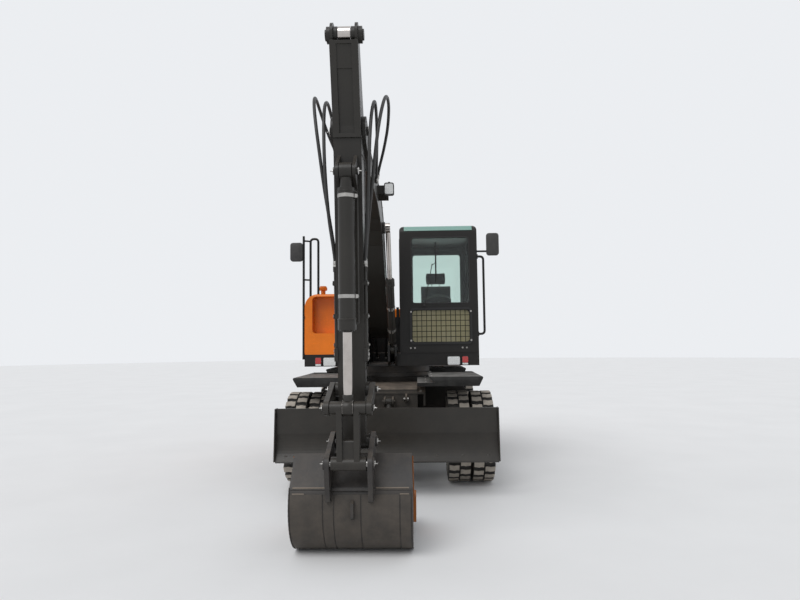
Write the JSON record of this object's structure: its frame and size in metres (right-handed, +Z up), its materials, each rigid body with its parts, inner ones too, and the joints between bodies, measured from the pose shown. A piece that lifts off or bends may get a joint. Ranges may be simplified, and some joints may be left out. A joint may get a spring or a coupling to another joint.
{
  "type": "wheeled excavator",
  "caption": "Wheeled excavator with slewing house, cab, boom, arm, linked bucket, twin tyres, steering front axle and a raised dozer blade.",
  "frame": {"origin": "on the ground under the slewing axis", "axes": "+Z up, -Y forward (the way the boom and the blade point), +X to the machine's left (cab side)"},
  "size_m": [2.6533, 6.0951, 3.9036],
  "materials": {
    "orange_paint": "semi-gloss",
    "dark_paint": "satin",
    "cab_paint": "satin",
    "chassis_paint": "dusty satin",
    "black_paint": "satin",
    "chrome": "polished",
    "rim_paint": "dusty",
    "tyre": "dusty",
    "glass": "tinted",
    "seat": "woven",
    "plastic": "matte",
    "lamp": "clear",
    "cast": "as cast"
  },
  "bodies": {
    "chassis": {"chassis_frame": "chassis_paint", "slew_ring": "cast", "front_axle": "chassis_paint", "rear_axle": "chassis_paint", "drive_line": "cast", "mudguards": "black_paint", "side_boxes": "black_paint"},
    "knuckle_left": {"knuckle_left": "chassis_paint"},
    "knuckle_right": {"knuckle_right": "chassis_paint"},
    "tie_rod": {"tie_rod": "chrome"},
    "wheel_front_left": {"rims_front_left": "rim_paint", "tyres_front_left": "tyre"},
    "wheel_front_right": {"rims_front_right": "rim_paint", "tyres_front_right": "tyre"},
    "wheel_rear_left": {"rims_rear_left": "rim_paint", "tyres_rear_left": "tyre"},
    "wheel_rear_right": {"rims_rear_right": "rim_paint", "tyres_rear_right": "tyre"},
    "blade_lower": {"blade_lower_links": "chassis_paint"},
    "blade_upper": {"blade_upper_links": "chassis_paint"},
    "blade": {"blade_panel": "dark_paint"},
    "blade_barrel": {"blade_barrel": "dark_paint"},
    "blade_rod": {"blade_rod": "chrome"},
    "upper": {"upper_frame": "black_paint", "counterweight": "orange_paint", "engine_block": "cast", "side_body": "orange_paint", "cab_frame": "cab_paint", "cab_glass": "glass", "front_guard": "black_paint", "seat": "seat", "console": "plastic", "handrails": "black_paint", "mirrors": "plastic", "lamps": "lamp", "exhaust": "black_paint"},
    "hood": {"engine_hood": "orange_paint"},
    "side_door_left_body": {"side_door_left": "orange_paint"},
    "side_door_right_body": {"side_door_right": "orange_paint"},
    "cab_door_body": {"cab_door": "cab_paint", "door_glass": "glass"},
    "boom": {"boom": "dark_paint"},
    "boom_barrels": {"boom_barrels": "dark_paint"},
    "boom_rods": {"boom_rods": "chrome"},
    "arm": {"arm": "dark_paint"},
    "arm_barrel": {"arm_barrel": "dark_paint"},
    "arm_rod": {"arm_rod": "chrome"},
    "bucket": {"bucket": "dark_paint"},
    "bucket_barrel": {"bucket_barrel": "dark_paint"},
    "bucket_rod": {"bucket_rod": "chrome"},
    "guide_links": {"guide_links": "dark_paint"},
    "h_link": {"h_link": "dark_paint"}
  },
  "joints": [
    {"name": "slew", "type": "hinge", "parent": "chassis", "child": "upper", "pos_m": [0, 0, 1.3], "axis": [0, 0, 1], "continuous": true},
    {"name": "steer_left", "type": "hinge", "parent": "chassis", "child": "knuckle_left", "pos_m": [0.56, -1.25, 0.51], "axis": [0, 0, 1], "range_deg": [-30, 30]},
    {"name": "spin_front_left", "type": "hinge", "parent": "knuckle_left", "child": "wheel_front_left", "pos_m": [0.9, -1.25, 0.51], "axis": [1, 0, 0], "continuous": true},
    {"name": "spin_rear_left", "type": "hinge", "parent": "chassis", "child": "wheel_rear_left", "pos_m": [0.9, 1.25, 0.51], "axis": [1, 0, 0], "continuous": true},
    {"name": "steer_right", "type": "hinge", "parent": "chassis", "child": "knuckle_right", "pos_m": [-0.56, -1.25, 0.51], "axis": [0, 0, 1], "range_deg": [-30, 30]},
    {"name": "spin_front_right", "type": "hinge", "parent": "knuckle_right", "child": "wheel_front_right", "pos_m": [-0.9, -1.25, 0.51], "axis": [1, 0, 0], "continuous": true},
    {"name": "spin_rear_right", "type": "hinge", "parent": "chassis", "child": "wheel_rear_right", "pos_m": [-0.9, 1.25, 0.51], "axis": [1, 0, 0], "continuous": true},
    {"name": "tie_rod_slide", "type": "slide", "parent": "chassis", "child": "tie_rod", "axis": [1, 0, 0], "range_m": [-0.1, 0.1]},
    {"name": "blade_lift", "type": "hinge", "parent": "chassis", "child": "blade_lower", "pos_m": [0, -1.57, 0.36], "axis": [-1, 0, 0], "range_deg": [-84, 0]},
    {"name": "blade_level", "type": "hinge", "parent": "blade_lower", "child": "blade", "pos_m": [0, -1.86726, 0.62765], "axis": [-1, 0, 0], "range_deg": [0, 84]},
    {"name": "blade_upper_pivot", "type": "hinge", "parent": "chassis", "child": "blade_upper", "pos_m": [0, -1.57, 0.58], "axis": [-1, 0, 0], "range_deg": [-84, 0]},
    {"name": "blade_barrel_pivot", "type": "hinge", "parent": "chassis", "child": "blade_barrel", "pos_m": [0, -1.58, 0.93], "axis": [-1, 0, 0], "range_deg": [-5, 5]},
    {"name": "blade_stroke", "type": "slide", "parent": "blade_barrel", "child": "blade_rod", "axis": [0, -0.3029, -0.953], "range_m": [0, 0.27]},
    {"name": "hood_lid", "type": "hinge", "parent": "upper", "child": "hood", "pos_m": [0, 0.752, 2.122], "axis": [1, 0, 0], "range_deg": [0, 55]},
    {"name": "side_door_left_hinge", "type": "hinge", "parent": "upper", "child": "side_door_left_body", "pos_m": [1.107, 0.782, 1.7], "axis": [0, 0, -1], "range_deg": [0, 100]},
    {"name": "side_door_right_hinge", "type": "hinge", "parent": "upper", "child": "side_door_right_body", "pos_m": [-1.107, 0.782, 1.7], "axis": [0, 0, 1], "range_deg": [0, 100]},
    {"name": "cab_door_hinge", "type": "hinge", "parent": "upper", "child": "cab_door_body", "pos_m": [1.107, 0.15, 2.2], "axis": [0, 0, 1], "range_deg": [0, 95]},
    {"name": "boom_lift", "type": "hinge", "parent": "upper", "child": "boom", "pos_m": [-0.17, -0.45, 1.75], "axis": [-1, 0, 0], "range_deg": [-60, 36]},
    {"name": "boom_barrel_pivot", "type": "hinge", "parent": "upper", "child": "boom_barrels", "pos_m": [-0.17, -0.82, 1.5], "axis": [-1, 0, 0], "range_deg": [-64, 39]},
    {"name": "boom_stroke", "type": "slide", "parent": "boom_barrels", "child": "boom_rods", "axis": [0, -0.5741, 0.8188], "range_m": [-0.39, 0.24]},
    {"name": "arm_swing", "type": "hinge", "parent": "boom", "child": "arm", "pos_m": [-0.17, -3.85, 3.2], "axis": [1, 0, 0], "range_deg": [-92, 12]},
    {"name": "arm_barrel_pivot", "type": "hinge", "parent": "boom", "child": "arm_barrel", "pos_m": [-0.17, -1.36119, 3.18225], "axis": [1, 0, 0], "range_deg": [-3, 3]},
    {"name": "arm_stroke", "type": "slide", "parent": "arm_barrel", "child": "arm_rod", "axis": [0, -0.9745, 0.2243], "range_m": [-0.985, 0.13]},
    {"name": "bucket_curl", "type": "hinge", "parent": "arm", "child": "bucket", "pos_m": [-0.17, -3.67, 0.826], "axis": [1, 0, 0], "range_deg": [-79, 55]},
    {"name": "guide_pivot", "type": "hinge", "parent": "arm", "child": "guide_links", "pos_m": [-0.17, -3.70024, 1.22486], "axis": [1, 0, 0], "range_deg": [-79, 55]},
    {"name": "h_link_pivot", "type": "hinge", "parent": "guide_links", "child": "h_link", "pos_m": [-0.17, -4.01131, 1.1147], "axis": [1, 0, 0], "range_deg": [-55, 79]},
    {"name": "bucket_barrel_pivot", "type": "hinge", "parent": "arm", "child": "bucket_barrel", "pos_m": [-0.17, -4.09201, 2.82062], "axis": [1, 0, 0], "range_deg": [-3, 3]},
    {"name": "bucket_stroke", "type": "slide", "parent": "bucket_barrel", "child": "bucket_rod", "axis": [0, 0.0473, -0.9989], "range_m": [-0.37, 0.26]}
  ],
  "couplings": [
    {"joint": "steer_right", "follows": "steer_left", "ratio": 1},
    {"joint": "tie_rod_slide", "follows": "steer_left", "m_per_rad": -0.19},
    {"joint": "blade_level", "follows": "blade_lift", "ratio": -1},
    {"joint": "blade_upper_pivot", "follows": "blade_lift", "ratio": 1},
    {"joint": "blade_barrel_pivot", "follows": "blade_lift", "ratio": 0.0479},
    {"joint": "blade_stroke", "follows": "blade_lift", "m_per_rad": -0.1828},
    {"joint": "boom_barrel_pivot", "follows": "boom_lift", "ratio": 1.0581},
    {"joint": "boom_stroke", "follows": "boom_lift", "m_per_rad": 0.3714},
    {"joint": "arm_barrel_pivot", "follows": "arm_swing", "ratio": -0.0019},
    {"joint": "arm_stroke", "follows": "arm_swing", "m_per_rad": 0.6098},
    {"joint": "guide_pivot", "follows": "bucket_curl", "ratio": 1},
    {"joint": "h_link_pivot", "follows": "bucket_curl", "ratio": -1},
    {"joint": "bucket_barrel_pivot", "follows": "bucket_curl", "ratio": -0.0143},
    {"joint": "bucket_stroke", "follows": "bucket_curl", "m_per_rad": 0.2661}
  ]
}
